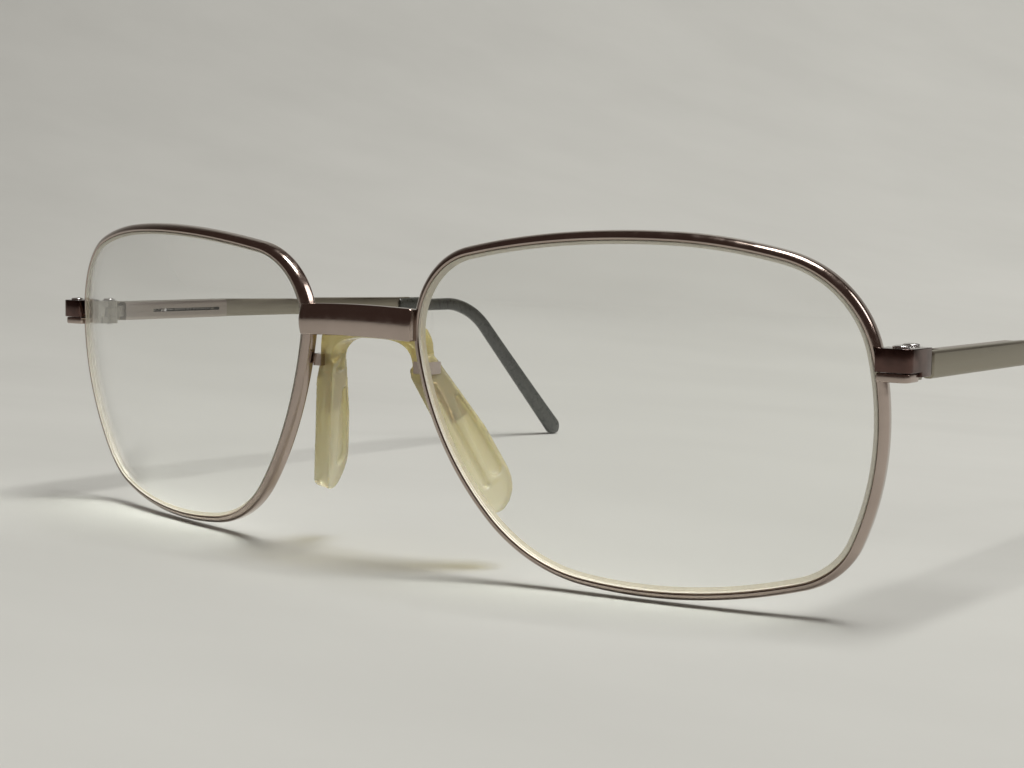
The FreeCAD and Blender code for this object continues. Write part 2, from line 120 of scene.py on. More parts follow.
def make_camera():
    data = bpy.data.cameras.new("camera")
    data.sensor_width = 36.0
    data.lens = 59.1
    data.clip_start = 0.01
    data.clip_end = 20.0
    camera = bpy.data.objects.new("camera", data)
    bpy.context.scene.collection.objects.link(camera)
    back = Vector(VIEW_BACK).normalized()
    right = Vector(VIEW_RIGHT)
    right = (right - back * right.dot(back)).normalized()
    turn = Matrix((right, back.cross(right), back)).transposed()
    place = Vector((np.array(CAMERA_PLACE) + SHIFT) * MM)
    camera.matrix_world = Matrix.Translation(place) @ turn.to_4x4()
    bpy.context.scene.camera = camera


# ---- mesh helpers --------------------------------------------------------------------------
def add_object(name, points, faces, side=1):
    """An object from working-frame points, smooth-shaded with its sharp edges kept."""
    placed = (np.array(points, float) * (side, 1, 1) + SHIFT) * MM
    mesh = bpy.data.meshes.new(name)
    mesh.from_pydata(placed.tolist(), [], faces)
    build = bmesh.new()
    build.from_mesh(mesh)
    bmesh.ops.recalc_face_normals(build, faces=build.faces)
    build.to_mesh(mesh)
    build.free()
    thing = bpy.data.objects.new(name, mesh)
    bpy.context.scene.collection.objects.link(thing)
    smooth(thing)
    return thing


def smooth(thing, angle=35.0):
    thing.data.shade_smooth()
    thing.data.set_sharp_from_angle(angle=math.radians(angle))


def bake(thing):
    """Replaces an object's mesh with the one that its modifiers make."""
    graph = bpy.context.evaluated_depsgraph_get()
    graph.update()
    mesh = bpy.data.meshes.new_from_object(thing.evaluated_get(graph))
    thing.modifiers.clear()
    thing.data = mesh


def modify(thing, kind, **settings):
    modifier = thing.modifiers.new(kind.lower(), kind)
    for name, value in settings.items():
        setattr(modifier, name, value)
    bake(thing)


def cut_away(thing, *tools):
    for tool in tools:
        modify(thing, "BOOLEAN", operation="DIFFERENCE", solver="EXACT", object=tool)
        bpy.data.objects.remove(tool)


def bevel(thing, width):
    modify(thing, "BEVEL", width=width * MM, segments=4, limit_method="ANGLE",
           angle_limit=math.radians(30), use_clamp_overlap=True)
    smooth(thing)


def finish_piece(thing, material, slot, body, *nodes):
    """Gives a piece its material, its body and the design nodes that it stands for."""
    thing.data.materials.clear()
    for item in material if isinstance(material, list) else [material]:
        thing.data.materials.append(item)
    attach(thing, body)
    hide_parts(*nodes)


def loft(sections):
    """Points and faces of a skin over sections of equal count, capped at both ends."""
    count = len(sections[0])
    total = len(sections)
    faces = []
    for i in range(total - 1):
        a = i * count
        b = a + count
        for j in range(count):
            k = (j + 1) % count
            faces.append((a + j, a + k, b + k, b + j))
    faces.append(tuple(range(count - 1, -1, -1)))
    faces.append(tuple(range((total - 1) * count, total * count)))
    return np.concatenate(sections), faces


def corner_arc(centre, radius, first, last, steps=6):
    angles = np.radians(np.linspace(first, last, steps + 1))
    return [(centre[0] + radius * math.cos(a), centre[1] + radius * math.sin(a)) for a in angles]


def rounded_box_section(width, height, radius, steps=6):
    """Rounded rectangle centred on the origin."""
    x = width / 2 - radius
    y = height / 2 - radius
    points = []
    for centre, first in (((x, y), 0), ((-x, y), 90), ((-x, -y), 180), ((x, -y), 270)):
        points += corner_arc(centre, radius, first, first + 90, steps)
    return np.array(points)


def prism(name, outline, low, high, side=1):
    """An outline in x and y between two heights."""
    sections = []
    for level in (low, high):
        sections.append(np.array([(x, y, level) for x, y in outline]))
    return add_object(name, *loft(sections), side)


def block(name, low, high, side=1):
    x0, y0, z0 = low
    x1, y1, z1 = high
    return prism(name, [(x0, y0), (x1, y0), (x1, y1), (x0, y1)], z0, z1, side)


def turned_piece(name, profile, where, side=1, count=48):
    """A turned solid, upright: profile is (radius, height) pairs up from where."""
    sections = []
    for radius, height in profile:
        ring = []
        for angle in np.linspace(0, 2 * math.pi, count, endpoint=False):
            point = (radius * math.cos(angle), radius * math.sin(angle), height)
            ring.append(np.array(where) + point)
        sections.append(np.array(ring))
    return add_object(name, *loft(sections), side)


# ---- the rim's outline ---------------------------------------------------------------------
def turned(angle):
    return np.array([math.cos(math.radians(angle)), math.sin(math.radians(angle))])


def rim_arcs():
    """Arcs of the rim's inner edge as (centre, radius, first angle, last angle)."""
    angles = [RIM_FIRST_NORMAL]
    for turn, _ in RIM_ARCS:
        angles.append(angles[-1] + turn)
    steps = [turned(b) - turned(a) for a, b in zip(angles, angles[1:])]
    radii = [radius for _, radius in RIM_ARCS]
    one, two = [i for i, radius in enumerate(radii) if radius is None]
    rest = sum(step * radius for step, radius in zip(steps, radii) if radius is not None)
    radii[one], radii[two] = np.linalg.solve(np.column_stack([steps[one], steps[two]]), -rest)
    point = np.zeros(2)
    arcs = []
    for step, radius, first, last in zip(steps, radii, angles, angles[1:]):
        arcs.append((point - turned(first) * radius, radius, first, last))
        point = point + step * radius
    points, _ = outline_points(arcs)
    middle = (points.min(0) + points.max(0)) / 2
    return [(centre - middle, radius, first, last) for centre, radius, first, last in arcs]


def outline_points(arcs):
    """Points of the closed outline and the outward directions there."""
    points = []
    normals = []
    for centre, radius, first, last in arcs:
        for angle in np.linspace(first, last, int((last - first) / ARC_STEP) + 1)[:-1]:
            points.append(centre + turned(angle) * (radius - RIM_INSET))
            normals.append(turned(angle))
    return np.array(points), np.array(normals)


def sphere_depth(points, behind, radius=FRONT_RADIUS, sag=FRONT_SAG):
    """Depth of a sphere that stands sag in front of the lens plane, behind its front face."""
    across = (points ** 2).sum(1)
    return radius - sag - np.sqrt((radius - behind) ** 2 - across)


def from_lens(points):
    """Lens-frame points to the working frame."""
    turn = Matrix.Rotation(math.radians(WRAP), 3, "Z") @ Matrix.Rotation(math.radians(PANTO), 3, "X")
    return points @ np.array(turn).T + (LENS_SPACING / 2, 0, LENS_HEIGHT)


def split_outline():
    """The outline from just above the saw cut, round over the top, to just below the cut."""
    points, normals = outline_points(rim_arcs())
    above = [i for i, p in enumerate(points) if p[0] > 20 and p[1] > RIM_SPLIT_HEIGHT + RIM_SPLIT]
    start = min(above)
    points = np.roll(points, -start, axis=0)
    normals = np.roll(normals, -start, axis=0)
    while points[-1][0] > 20 and points[-1][1] > RIM_SPLIT_HEIGHT - 0.02:
        points, normals = points[:-1], normals[:-1]
    return points, normals


# ---- materials -----------------------------------------------------------------------------
class Recipe:
    """A node material under construction, with short ways to add its nodes."""

    def __init__(self, name, **values):
        self.material = bpy.data.materials.new(name)
        self.material.use_nodes = True
        self.nodes = self.material.node_tree.nodes
        self.links = self.material.node_tree.links
        self.shader = self.nodes["Principled BSDF"]
        self.coordinates = self.nodes.new("ShaderNodeTexCoord").outputs["Object"]
        for socket, value in values.items():
            self.shader.inputs[socket.replace("_", " ")].default_value = value

    def link(self, output, shader_input):
        self.links.new(output, self.shader.inputs[shader_input])

    def stretched(self, scale):
        mapping = self.nodes.new("ShaderNodeMapping")
        mapping.inputs["Scale"].default_value = scale
        self.links.new(self.coordinates, mapping.inputs["Vector"])
        return mapping.outputs["Vector"]

    def noise(self, scale, detail=4.0, stretch=(1, 1, 1), roughness=0.55):
        node = self.nodes.new("ShaderNodeTexNoise")
        node.inputs["Scale"].default_value = scale
        node.inputs["Detail"].default_value = detail
        node.inputs["Roughness"].default_value = roughness
        self.links.new(self.stretched(stretch), node.inputs["Vector"])
        return node.outputs["Fac"]

    def ramp(self, factor, *stops):
        node = self.nodes.new("ShaderNodeValToRGB")
        ramp = node.color_ramp
        while len(ramp.elements) < len(stops):
            ramp.elements.new(0.5)
        for element, (position, colour) in zip(ramp.elements, stops):
            element.position = position
            element.color = (*colour, 1) if len(colour) == 3 else (colour[0],) * 3 + (1,)
        self.links.new(factor, node.inputs["Fac"])
        return node.outputs["Color"]

    def bump(self, height, depth, strength=1.0):
        node = self.nodes.new("ShaderNodeBump")
        node.inputs["Strength"].default_value = strength
        node.inputs["Distance"].default_value = depth * MM
        self.links.new(height, node.inputs["Height"])
        self.link(node.outputs["Normal"], "Normal")

    def axis(self, name, low, high):
        """0 to 1 along one axis of the object, between two places in metres."""
        split = self.nodes.new("ShaderNodeSeparateXYZ")
        self.links.new(self.coordinates, split.inputs[0])
        span = self.nodes.new("ShaderNodeMapRange")
        span.inputs["From Min"].default_value = low
        span.inputs["From Max"].default_value = high
        self.links.new(split.outputs[name], span.inputs["Value"])
        return span.outputs["Result"]

    def let_light_through(self, tint):
        """Light passes the piece with a tint instead of leaving a hard shadow."""
        output = self.nodes["Material Output"]
        clear = self.nodes.new("ShaderNodeBsdfTransparent")
        clear.inputs["Color"].default_value = (*tint, 1)
        mix = self.nodes.new("ShaderNodeMixShader")
        path = self.nodes.new("ShaderNodeLightPath")
        self.links.new(path.outputs["Is Shadow Ray"], mix.inputs["Fac"])
        self.links.new(self.shader.outputs["BSDF"], mix.inputs[1])
        self.links.new(clear.outputs["BSDF"], mix.inputs[2])
        self.links.new(mix.outputs["Shader"], output.inputs["Surface"])


def frame_metal():
    """Polished bronze-brown plating under clear lacquer."""
    recipe = Recipe("frame_metal", Metallic=1.0, Coat_Weight=0.35, Coat_Roughness=0.06)
    patches = recipe.noise(90, detail=3)
    colours = recipe.ramp(patches, (0.3, (0.40, 0.325, 0.285)), (0.7, (0.48, 0.395, 0.350)))
    recipe.link(colours, "Base Color")
    wear = recipe.noise(900, detail=5)
    recipe.link(recipe.ramp(wear, (0.35, (0.13,)), (0.75, (0.26,))), "Roughness")
    recipe.bump(recipe.noise(2600, detail=3), 0.004, 0.5)
    return recipe.material


def painted_shade_plating():
    """Endpiece plating given a near-black red-brown base: painted shade standing in for the dark room that
    the plating reflects.
    """
    recipe = Recipe("painted_shade_plating", Metallic=1.0, Coat_Weight=0.35, Coat_Roughness=0.06)
    patches = recipe.noise(400, detail=3)
    # near-black base colours: painted shade of the dark reflection, not a coating of its own
    colours = recipe.ramp(patches, (0.3, (0.06, 0.034, 0.028)), (0.7, (0.12, 0.064, 0.054)))
    recipe.link(colours, "Base Color")
    recipe.link(recipe.ramp(recipe.noise(900, detail=5), (0.35, (0.14,)), (0.75, (0.26,))), "Roughness")
    recipe.bump(recipe.noise(2600, detail=3), 0.004, 0.5)
    return recipe.material


def temple_metal(name, dark, light):
    """Satin taupe metal, brushed along the temple."""
    recipe = Recipe(name, Metallic=1.0)
    brushed = recipe.noise(1500, detail=4, stretch=(1, 0.03, 1))
    recipe.link(recipe.ramp(brushed, (0.3, dark), (0.7, light)), "Base Color")
    recipe.link(recipe.ramp(brushed, (0.3, (0.26,)), (0.7, (0.42,))), "Roughness")
    recipe.bump(brushed, 0.006, 0.6)
    return recipe.material


def hinge_metal():
    """Plain nickel silver with faint machining marks."""
    recipe = Recipe("hinge_metal", Metallic=1.0)
    marks = recipe.noise(1800, detail=4, stretch=(1, 1, 0.1))
    recipe.link(recipe.ramp(marks, (0.3, (0.34, 0.32, 0.27)), (0.7, (0.40, 0.375, 0.325))), "Base Color")
    recipe.link(recipe.ramp(marks, (0.3, (0.24,)), (0.7, (0.34,))), "Roughness")
    recipe.bump(marks, 0.002, 0.3)
    return recipe.material


def bright_steel(name, tone):
    """Turned or drawn steel with fine lines round the part."""
    recipe = Recipe(name, Metallic=1.0)
    lines = recipe.noise(2500, detail=3, stretch=(0.2, 0.2, 1))
    low = tuple(tone * share for share in (0.92, 0.91, 0.90))
    recipe.link(recipe.ramp(lines, (0.3, low), (0.7, (tone, tone, tone))), "Base Color")
    recipe.link(recipe.ramp(lines, (0.3, (0.12,)), (0.7, (0.24,))), "Roughness")
    recipe.bump(lines, 0.003, 0.4)
    return recipe.material


def lens_glass():
    """Clear lens with a trace of dust on it."""
    recipe = Recipe("lens", Transmission_Weight=1.0, IOR=1.5, Specular_IOR_Level=0.2)
    recipe.shader.inputs["Base Color"].default_value = (0.985, 0.99, 0.98, 1)
    dust = recipe.noise(420, detail=6, roughness=0.7)
    recipe.link(recipe.ramp(dust, (0.62, (0.0,)), (0.85, (0.015,))), "Roughness")
    recipe.let_light_through((0.93, 0.94, 0.92))
    return recipe.material


def lens_bevel():
    """Ground edge of the lens, frosted and slightly warm."""
    recipe = Recipe("lens_bevel", IOR=1.5, Transmission_Weight=0.45)
    ground = recipe.noise(3000, detail=3)
    recipe.link(recipe.ramp(ground, (0.3, (0.80, 0.75, 0.62)), (0.7, (0.90, 0.86, 0.74))), "Base Color")
    recipe.link(recipe.ramp(ground, (0.3, (0.55,)), (0.7, (0.75,))), "Roughness")
    recipe.bump(ground, 0.01, 0.6)
    recipe.let_light_through((0.8, 0.8, 0.75))
    return recipe.material


def saddle_plastic():
    """Clear plastic yellowed with age, hazy inside."""
    recipe = Recipe("saddle_plastic", Transmission_Weight=0.6, IOR=1.46, Subsurface_Weight=0.4,
                    Subsurface_Scale=0.003)
    recipe.shader.inputs["Subsurface Radius"].default_value = (1.0, 0.8, 0.4)
    height = recipe.axis("Z", SADDLE_LOW[2] * MM, SADDLE_HIGH[2] * MM)
    recipe.link(recipe.ramp(height, (0.0, (0.86, 0.83, 0.66)), (0.45, (0.80, 0.74, 0.47)),
                            (0.85, (0.74, 0.66, 0.33))), "Base Color")
    recipe.link(recipe.ramp(recipe.noise(500), (0.3, (0.10,)), (0.7, (0.22,))), "Roughness")
    recipe.bump(recipe.noise(260, detail=3), 0.03, 0.15)
    recipe.let_light_through((0.64, 0.61, 0.50))
    return recipe.material


def tip_plastic():
    """Dark grey-green plastic, darkest in the middle of its height, lighter towards its lower end, and
    lighter and browner from the bend up: painted light showing through the plastic.
    """
    recipe = Recipe("tip_plastic", Coat_Weight=0.2, Coat_Roughness=0.1, IOR=1.49)
    along = recipe.axis("Z", TIP_LOW[2] * MM, TIP_HIGH[2] * MM)
    # colour by height: darkest in the middle, lighter at the lower end, lighter and browner at the top as
    # painted light through the plastic
    colours = recipe.ramp(along, (0.0, (0.045, 0.052, 0.046)), (0.55, (0.022, 0.026, 0.023)),
                          (0.86, (0.028, 0.031, 0.027)), (1.0, (0.040, 0.042, 0.036)))
    mottle = recipe.ramp(recipe.noise(220, detail=3), (0.3, (0.8, 0.8, 0.8)), (0.7, (1.15, 1.1, 1.0)))
    mix = recipe.nodes.new("ShaderNodeMix")
    mix.data_type = "RGBA"
    mix.blend_type = "MULTIPLY"
    mix.inputs["Factor"].default_value = 1.0
    recipe.links.new(colours, mix.inputs["A"])
    recipe.links.new(mottle, mix.inputs["B"])
    recipe.link(mix.outputs["Result"], "Base Color")
    recipe.link(recipe.ramp(recipe.noise(1200), (0.3, (0.22,)), (0.7, (0.40,))), "Roughness")
    recipe.bump(recipe.noise(1600, detail=3), 0.006, 0.5)
    return recipe.material


def paper():
    """Pale paper with faint stains and creases."""
    recipe = Recipe("paper", Roughness=0.85, Specular_IOR_Level=0.2)
    stains = recipe.noise(7, detail=5, stretch=(1, 2.2, 1))
    colours = recipe.ramp(stains, (0.35, (0.62, 0.628, 0.600)), (0.7, (0.665, 0.674, 0.645)))
    recipe.link(colours, "Base Color")
    recipe.bump(recipe.noise(30, detail=6), 0.08, 0.15)
    return recipe.material


# ---- front ---------------------------------------------------------------------------------
def rim_section():
    """Section of the rim as (outwards from the lens, back from the front face)."""
    points = corner_arc((0.4, 0.4), 0.4, 180, 270)
    points += corner_arc((RIM_WIDTH - 0.7, 0.7), 0.7, -90, 0, 10)
    points += corner_arc((RIM_WIDTH - 0.55, RIM_DEPTH - 0.55), 0.55, 0, 90, 8)
    points += corner_arc((0.3, RIM_DEPTH - 0.3), 0.3, 90, 180, 5)
    middle = GROOVE_FRONT + GROOVE_WIDTH / 2
    points += [(0, middle + 0.4), (GROOVE_DEPTH, middle), (0, middle - 0.4)]
    return np.array(points)


def make_rim(name, side, material):
    points, normals = split_outline()
    sections = []
    for point, normal in zip(points, normals):
        section = []
        for out, back in rim_section():
            place = point + normal * out
            depth = sphere_depth(np.array([place]), back)[0]
            section.append((place[0], depth, place[1]))
        sections.append(from_lens(np.array(section)))
    rim = add_object(f"rim_{name}_wire", *loft(sections), side)
    finish_piece(rim, material, "frame_metal", "front", f"rim_{name}")


def lens_rings(points, normals):
    """Rings of a lens from the middle of its front, over its bevelled edge, to its back."""
    steps = 36
    edge = points - normals * LENS_PLAY
    crest = points + normals * (GROOVE_DEPTH - 0.12)
    crest_depth = sphere_depth(crest, GROOVE_FRONT + GROOVE_WIDTH / 2)
    set_back = LENS_SET_BACK
    back_sag = FRONT_SAG - set_back - LENS_CENTRE_THICKNESS
    rings = []
    for share in np.linspace(0.02, 1.0, steps):
        rings.append((edge * share, sphere_depth(edge * share, 0) + set_back))
    shoulder = sphere_depth(edge, GROOVE_FRONT + 0.1)
    rings.append((edge, shoulder))
    rings.append((crest, crest_depth))
    foot = sphere_depth(edge, GROOVE_FRONT + GROOVE_WIDTH - 0.1)
    rings.append((edge, foot))
    for share in np.linspace(1.0, 0.02, steps):
        depth = sphere_depth(edge * share, 0, LENS_BACK_RADIUS, back_sag)
        rings.append((edge * share, depth))
    return rings, steps


def make_lens(name, side, materials):
    points, normals = outline_points(rim_arcs())
    rings, steps = lens_rings(points, normals)
    sections = []
    for place, depth in rings:
        sections.append(from_lens(np.column_stack([place[:, 0], depth, place[:, 1]])))
    lens = add_object(f"lens_{name}_glass", *loft(sections), side)
    finish_piece(lens, materials, "lens", "front", f"lens_{name}")
    around = len(points)
    ring_of = [min(v // around for v in face.vertices) for face in lens.data.polygons]
    for face, ring in zip(lens.data.polygons, ring_of):
        face.material_index = 1 if steps - 1 <= ring < steps + 4 else 0


BRIDGE_LEAN = -2.0            # degrees that its front face looks down
BRIDGE_HEIGHT = 4.0
BRIDGE_THICK = 1.8
BRIDGE_BULGE = 0.42
BRIDGE_RISE = 0.25
BRIDGE_BOW = 0.35


def make_bridge(material):
    """Bar with a rounded front face, bowed up and forward, that laps over the rims' fronts."""
    half = BRIDGE_HIGH[0]
    middle = (BRIDGE_LOW + BRIDGE_HIGH) / 2
    lean = math.radians(BRIDGE_LEAN)
    ends = np.array([1.0, 0.998, 0.992, 0.98])
    sections = []
    for share in np.concatenate([-ends, np.linspace(-0.96, 0.96, 41), ends[::-1]]):
        inset = 0.3 * max(0.0, (abs(share) - 0.96) / 0.04) ** 2
        section = []
        for y, z in bridge_section(BRIDGE_THICK - inset, BRIDGE_HEIGHT - inset):
            back = y * math.cos(lean) - z * math.sin(lean) - BRIDGE_BOW * (1 - share ** 2)
            up = z * math.cos(lean) + y * math.sin(lean) + BRIDGE_RISE * (0.5 - share ** 2)
            section.append((share * half, back + inset / 2, up))
        sections.append(np.array(section) + (0, middle[1], middle[2]))
    bridge = add_object("bridge_bar_shape", *loft(sections), 1)
    finish_piece(bridge, material, "frame_metal", "front", "bridge_bar")


def bridge_section(thick, tall):
    """Section as (y, z) with a bulging front face and rounded edges; the front is at -y."""
    half = tall / 2
    front = -thick / 2
    edge = 0.3
    points = []
    for z in np.linspace(half - edge, -half + edge, 17):
        points.append((front + BRIDGE_BULGE * (z / half) ** 2, z))
    foot = points[-1][0]
    points += corner_arc((foot + edge, -half + edge), edge, 180, 270, 5)[1:]
    points += corner_arc((thick / 2 - edge, -half + edge), edge, -90, 0, 4)
    points += corner_arc((thick / 2 - edge, half - edge), edge, 0, 90, 4)
    points += corner_arc((foot + edge, half - edge), edge, 90, 180, 5)[:-1]
    return points


SADDLE_LEG_TOP = np.array([8.0, 0.3, 26.5])
SADDLE_LEG_END = np.array([14.2, 6.2, 10.6])
SADDLE_SPLAY = 0.33
SADDLE_VOXEL = 0.16
SADDLE_HALF = 8.8            # half the width of its arch
SADDLE_SHOULDER = 3.6        # rounding of its upper corners
SADDLE_THICK = 3.0           # of its arch, front to back
SADDLE_MARGIN = 0.1          # kept inside the box of the design node
SADDLE_DROP = 2.5            # from the top of a leg's axis to the foot of the arch
OPENING_HALF = 7.0
OPENING_TALL = 4.6
OPENING_SQUARE = 0.62        # below 1 the arch is flatter on top and fuller in its corners
LEG_HALF_THICK = 1.15
LEG_FRONT = 3.3              # from the leg's axis to its front edge
LEG_BACK_TOP = 0.7           # from the axis to its back edge, at the top
LEG_BACK = 2.5               # and at its widest
LEG_HEEL = 0.9               # how far the straight front edge runs past the axis
LEG_TOE = 2.1                # how far the round end reaches beyond that
LEG_TOE_WIDTH = 2.2
LEG_TOE_TURN = 1.7           # radians that the round end turns through


def leg_axes():
    down = SADDLE_LEG_END - SADDLE_LEG_TOP
    length = np.linalg.norm(down)
    down = down / length
    across = np.array([SADDLE_SPLAY, 1, 0])
    across = across - down * across.dot(down)
    across = across / np.linalg.norm(across)
    return down, across, np.cross(down, across), length


def leg_prism(name, side, outline, low, high):
    """An outline along the leg and across it, between two depths through its thickness."""
    down, across, normal, _ = leg_axes()
    sections = []
    for level in (low, high):
        start = SADDLE_LEG_TOP + normal * level
        sections.append(np.array([start + down * x + across * y for x, y in outline]))
    return add_object(name, *loft(sections), side)


def leg_outline():
    """Straight front edge, a back edge that widens, and a round lower end, lowest near the front."""
    length = leg_axes()[3]
    end = []
    for a in np.linspace(0, LEG_TOE_TURN, 12):
        reach = length + LEG_HEEL + LEG_TOE * math.sin(a)
        end.append((reach, -LEG_FRONT + LEG_TOE_WIDTH * (1 - math.cos(a))))
    x0, y0 = end[-1]
    curve = []
    for t in np.linspace(0, 1, 10)[1:]:
        keep = (1 - t) ** 2
        curve.append((keep * x0 + 2 * t * (1 - t) * (length + 2.0) + t * t * (length - 1.5),
                      keep * y0 + 2 * t * (1 - t) * (LEG_BACK - 0.1) + t * t * LEG_BACK))
    return [(0, -LEG_FRONT)] + end + curve + [(length * 0.6, LEG_BACK - 0.15), (0, LEG_BACK_TOP)]


def pocket_outline(start, end, middle, half):
    """Long slot with a pointed upper end and a round lower end."""
    points = [(start, middle - 0.3), (start + 3.0, middle - half * 0.75)]
    points += corner_arc((end, middle), half, -90, 90, 12)
    points += [(start + 3.0, middle + half * 0.75), (start, middle + 0.3)]
    return points


def upright(name, outline, front, back):
    """An outline in x and z between two depths."""
    return add_object(name, *loft([np.array([(x, y, z) for x, z in outline]) for y in (front, back)]))


def make_saddle(material):
    """Arch and two legs in one moulding, with a long pocket in each face of each leg."""
    front = SADDLE_LOW[1] + SADDLE_MARGIN
    back = front + SADDLE_THICK
    foot = SADDLE_LEG_TOP[2] - SADDLE_DROP
    x = SADDLE_HALF - SADDLE_SHOULDER
    z = SADDLE_HIGH[2] - SADDLE_MARGIN - SADDLE_SHOULDER
    body = [(SADDLE_HALF, foot)] + corner_arc((x, z), SADDLE_SHOULDER, 0, 90, 10)
    body += corner_arc((-x, z), SADDLE_SHOULDER, 90, 180, 10) + [(-SADDLE_HALF, foot)]
    saddle = upright("nose_saddle_moulding", body, front, back)
    opening = []
    for a in np.linspace(0, 2 * math.pi, 64, endpoint=False):
        across = math.copysign(abs(math.cos(a)) ** OPENING_SQUARE, math.cos(a))
        up = math.copysign(abs(math.sin(a)) ** OPENING_SQUARE, math.sin(a))
        opening.append((OPENING_HALF * across, foot + OPENING_TALL * up))
    cut_away(saddle, upright("opening", opening, front - 2, back + 6))
    length = leg_axes()[3]
    for side in (1, -1):
        leg = leg_prism("leg", side, leg_outline(), -LEG_HALF_THICK, LEG_HALF_THICK)
        cut_away(leg, leg_prism("pocket", side, pocket_outline(5.6, length - 2.2, 0.75, 1.05), 0.55, 3.0),
                 leg_prism("channel", side, pocket_outline(3.0, length - 1.0, -1.5, 0.5), 0.6, 3.0),
                 leg_prism("hollow", side, pocket_outline(5.6, length - 1.4, 0.4, 1.3), -3.0, -0.6))
        modify(saddle, "BOOLEAN", operation="UNION", solver="EXACT", object=leg)
        bpy.data.objects.remove(leg)
    cut_away(saddle, block("front", (-40, front - 20, -10), (40, front, 60)))
    modify(saddle, "REMESH", mode="VOXEL", voxel_size=SADDLE_VOXEL * MM)
    modify(saddle, "SMOOTH", factor=0.5, iterations=16)
    smooth(saddle, 180)
    finish_piece(saddle, material, "saddle_plastic", "front", "nose_saddle")


END_SHORT = 0.03             # endpiece and lock start this much short of the design's
END_THICK = 2.3              # of the endpiece's tail
END_DEPTH = 3.2              # of its lug, front to back
LOCK_GAP = 0.08              # between the endpiece and the lock block


def make_endpiece(name, side, material):
    """Lug that turns back from the rim, with a thinner tail towards the hinge."""
    x0 = END_LOW[0] + END_SHORT
    x1 = OUTSIDE - END_THICK
    y0, y2 = END_LOW[1], END_HIGH[1]
    y1 = y0 + END_DEPTH
    corner = 1.1
    round_corner = corner_arc((OUTSIDE - corner, y0 + corner), corner, -90, 0, 6)
    outline = [(x0, y0)] + round_corner + [(OUTSIDE, y2), (x1, y2), (x1, y1), (x0, y1)]
    lug = prism(f"endpiece_{name}_lug", outline, LOCK_HIGH[2] + LOCK_GAP, END_HIGH[2], side)
    tail = block("tail", (x1, y1, END_LOW[2]), (OUTSIDE, y2, END_HIGH[2] - 0.1), side)
    modify(lug, "BOOLEAN", operation="UNION", solver="EXACT", object=tail)
    bpy.data.objects.remove(tail)
    bevel(lug, 0.28)
    finish_piece(lug, material, "frame_metal", "front", f"endpiece_{name}")


def make_lock(name, side, material):
    """Block under the endpiece that closes the rim's saw cut."""
    low, high = LOCK_LOW, LOCK_HIGH
    x0 = END_LOW[0] + END_SHORT
    corner = 0.9
    round_corner = corner_arc((high[0] - corner, low[1] + corner), corner, -90, 0, 6)
    outline = [(x0, low[1] + 0.1)] + round_corner + [(high[0], high[1]), (x0, high[1])]
    lock = prism(f"rim_lock_{name}_block", outline, low[2], high[2], side)
    bevel(lock, 0.2)
    finish_piece(lock, material, "frame_metal", "front", f"rim_lock_{name}")


def make_screw(name, node, side, material, head_radius, head, shank_radius):
    """Screw with a domed, slotted head."""
    low, high = node_box(node + "_right")
    x, y = (low[0] + high[0]) / 2, (low[1] + high[1]) / 2
    profile = [(shank_radius * 0.7, low[2]), (shank_radius, low[2] + 0.12), (shank_radius, high[2] - head)]
    profile.append((head_radius - 0.08, high[2] - head))
    profile.append((head_radius, high[2] - head + 0.08))
    for angle in np.linspace(0, 90, 7)[:-1]:
        bend = math.radians(angle)
        dome = 0.45 * head
        radius = head_radius * (0.25 + 0.75 * math.cos(bend))
        profile.append((radius, high[2] - dome + dome * math.sin(bend)))
    screw = turned_piece(f"{node}_{name}_turned", profile, (x, y, 0), side=side)
    slot = block("slot", (x - 2, y - 0.13, high[2] - 0.22), (x + 2, y + 0.13, high[2] + 1), side)
    cut_away(screw, slot)
    smooth(screw)
    finish_piece(screw, material, "screw_steel", "front", f"{node}_{name}")


# ---- temples -------------------------------------------------------------------------------
BAR_MIDDLE = 28.85
TIP_MIDDLE = 28.3            # the bar drops to this height where the tip starts
BAR_THICK = 1.2
BAR_HEIGHT = 3.0
BAR_HEIGHT_BACK = 2.5
BAR_STRAIGHT = 40.0
BAR_LEAN = 1.4
TIP_THICK = 2.0
TIP_START_HALF = 1.15
TIP_END_HALF = 1.8
TIP_INWARD = 5.2
BEND_START = 92.0
BEND_RADIUS = 15.0
BEND_ANGLE = 47.5
TIP_START = 80.0


def temple_path(s):
    """(y, z, slope) at length s behind the start of the tip, with the bend over the ear."""
    run = BEND_START - TIP_START
    angle = math.radians(BEND_ANGLE)
    if s <= run:
        return TIP_START + s, TIP_MIDDLE, 0.0
    if s <= run + BEND_RADIUS * angle:
        slope = (s - run) / BEND_RADIUS
        drop = BEND_RADIUS * (1 - math.cos(slope))
        return BEND_START + BEND_RADIUS * math.sin(slope), TIP_MIDDLE - drop, slope
    rest = s - run - BEND_RADIUS * angle
    y = BEND_START + BEND_RADIUS * math.sin(angle) + rest * math.cos(angle)
    return y, TIP_MIDDLE - BEND_RADIUS * (1 - math.cos(angle)) - rest * math.sin(angle), angle


def tip_length():
    angle = math.radians(BEND_ANGLE)
    drop = TIP_MIDDLE - BEND_RADIUS * (1 - math.cos(angle)) - TIP_END_HALF
    return BEND_START - TIP_START + BEND_RADIUS * angle + drop / math.sin(angle)


def temple_x(y):
    """Middle of the temple's thickness: straight, leaning in, then turning in over the ear."""
    bend = BEND_START + 4
    middle = OUTSIDE - BAR_THICK / 2
    if y <= BAR_STRAIGHT:
        return middle
    if y <= bend:
        return middle - BAR_LEAN * (y - BAR_STRAIGHT) / (bend - BAR_STRAIGHT)
    return middle - BAR_LEAN - TIP_INWARD * (y - bend) / (130.0 - bend)


